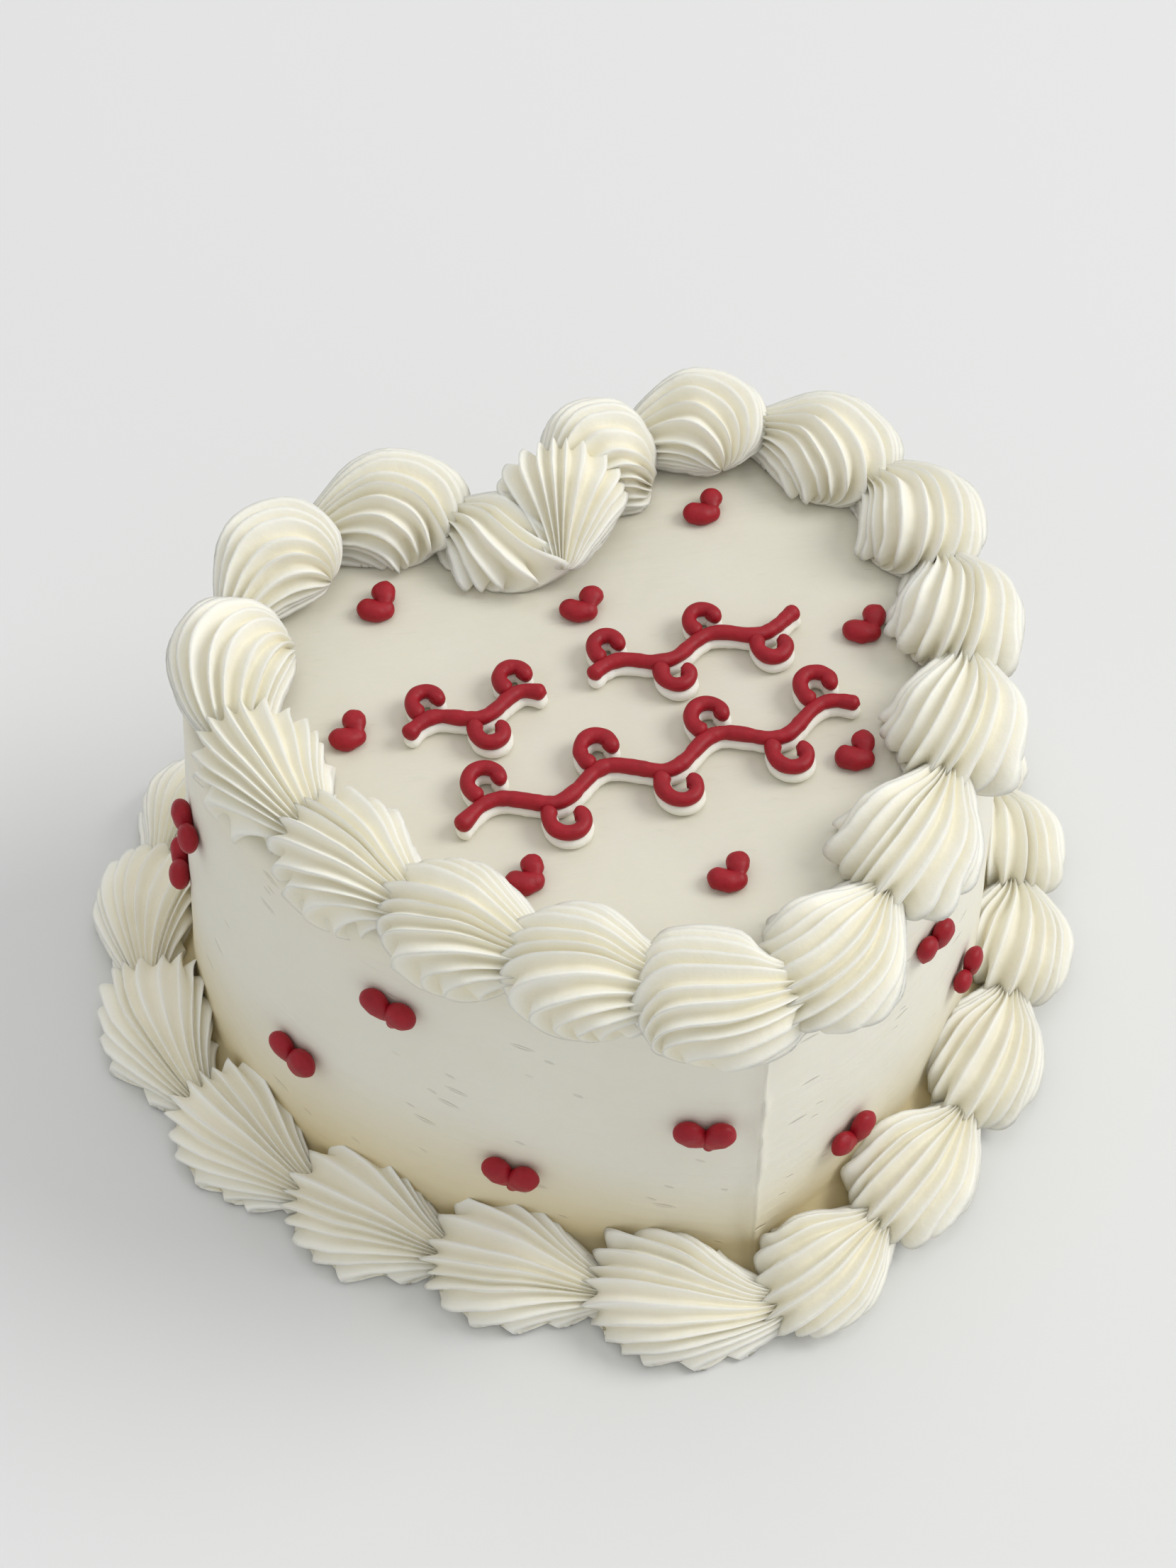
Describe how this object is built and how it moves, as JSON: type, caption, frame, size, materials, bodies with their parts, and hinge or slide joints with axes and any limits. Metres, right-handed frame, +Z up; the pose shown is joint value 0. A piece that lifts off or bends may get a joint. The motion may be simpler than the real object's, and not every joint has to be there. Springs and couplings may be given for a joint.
{
  "type": "heart-shaped celebration cake",
  "caption": "Small uncut heart-shaped cake in smooth ivory buttercream with ridged piped shell borders at top and base, red piped hearts and red scroll flourishes.",
  "frame": {"origin": "on the flat underside, below the middle of the line that joins the two lobes' widest points", "axes": "+Z up, -Y towards the tip of the heart, +Y towards the cleft, X across"},
  "size_m": [0.1327, 0.1197, 0.0674],
  "materials": {
    "buttercream_wall": "smooth ivory buttercream, matte",
    "buttercream_piping": "ridged ivory buttercream, soft sheen",
    "raspberry_hearts": "deep raspberry red icing, matte",
    "raspberry_scrolls": "deep raspberry red icing, matte"
  },
  "bodies": {
    "root": {"base_shell_01": "buttercream_piping", "base_shell_02": "buttercream_piping", "base_shell_03": "buttercream_piping", "base_shell_04": "buttercream_piping", "base_shell_05": "buttercream_piping", "base_shell_06": "buttercream_piping", "base_shell_07": "buttercream_piping", "base_shell_08": "buttercream_piping", "base_shell_09": "buttercream_piping", "base_shell_10": "buttercream_piping", "base_shell_11": "buttercream_piping", "base_shell_12": "buttercream_piping", "base_shell_13": "buttercream_piping", "base_shell_14": "buttercream_piping", "base_shell_15": "buttercream_piping", "base_shell_16": "buttercream_piping", "base_shell_17": "buttercream_piping", "base_shell_18": "buttercream_piping", "base_shell_19": "buttercream_piping", "cake_body": "buttercream_wall", "flourish_front": "raspberry_scrolls", "flourish_left": "raspberry_scrolls", "flourish_right": "raspberry_scrolls", "top_heart_01": "raspberry_hearts", "top_heart_02": "raspberry_hearts", "top_heart_03": "raspberry_hearts", "top_heart_04": "raspberry_hearts", "top_heart_05": "raspberry_hearts", "top_heart_06": "raspberry_hearts", "top_heart_07": "raspberry_hearts", "top_heart_08": "raspberry_hearts", "top_shell_01": "buttercream_piping", "top_shell_02": "buttercream_piping", "top_shell_03": "buttercream_piping", "top_shell_04": "buttercream_piping", "top_shell_05": "buttercream_piping", "top_shell_06": "buttercream_piping", "top_shell_07": "buttercream_piping", "top_shell_08": "buttercream_piping", "top_shell_09": "buttercream_piping", "top_shell_10": "buttercream_piping", "top_shell_11": "buttercream_piping", "top_shell_12": "buttercream_piping", "top_shell_13": "buttercream_piping", "top_shell_14": "buttercream_piping", "top_shell_15": "buttercream_piping", "top_shell_16": "buttercream_piping", "top_shell_17": "buttercream_piping", "top_shell_18": "buttercream_piping", "wall_heart_01": "raspberry_hearts", "wall_heart_02": "raspberry_hearts", "wall_heart_03": "raspberry_hearts", "wall_heart_04": "raspberry_hearts", "wall_heart_05": "raspberry_hearts", "wall_heart_06": "raspberry_hearts", "wall_heart_07": "raspberry_hearts", "wall_heart_08": "raspberry_hearts", "wall_heart_09": "raspberry_hearts", "wall_heart_10": "raspberry_hearts"}
  },
  "joints": []
}
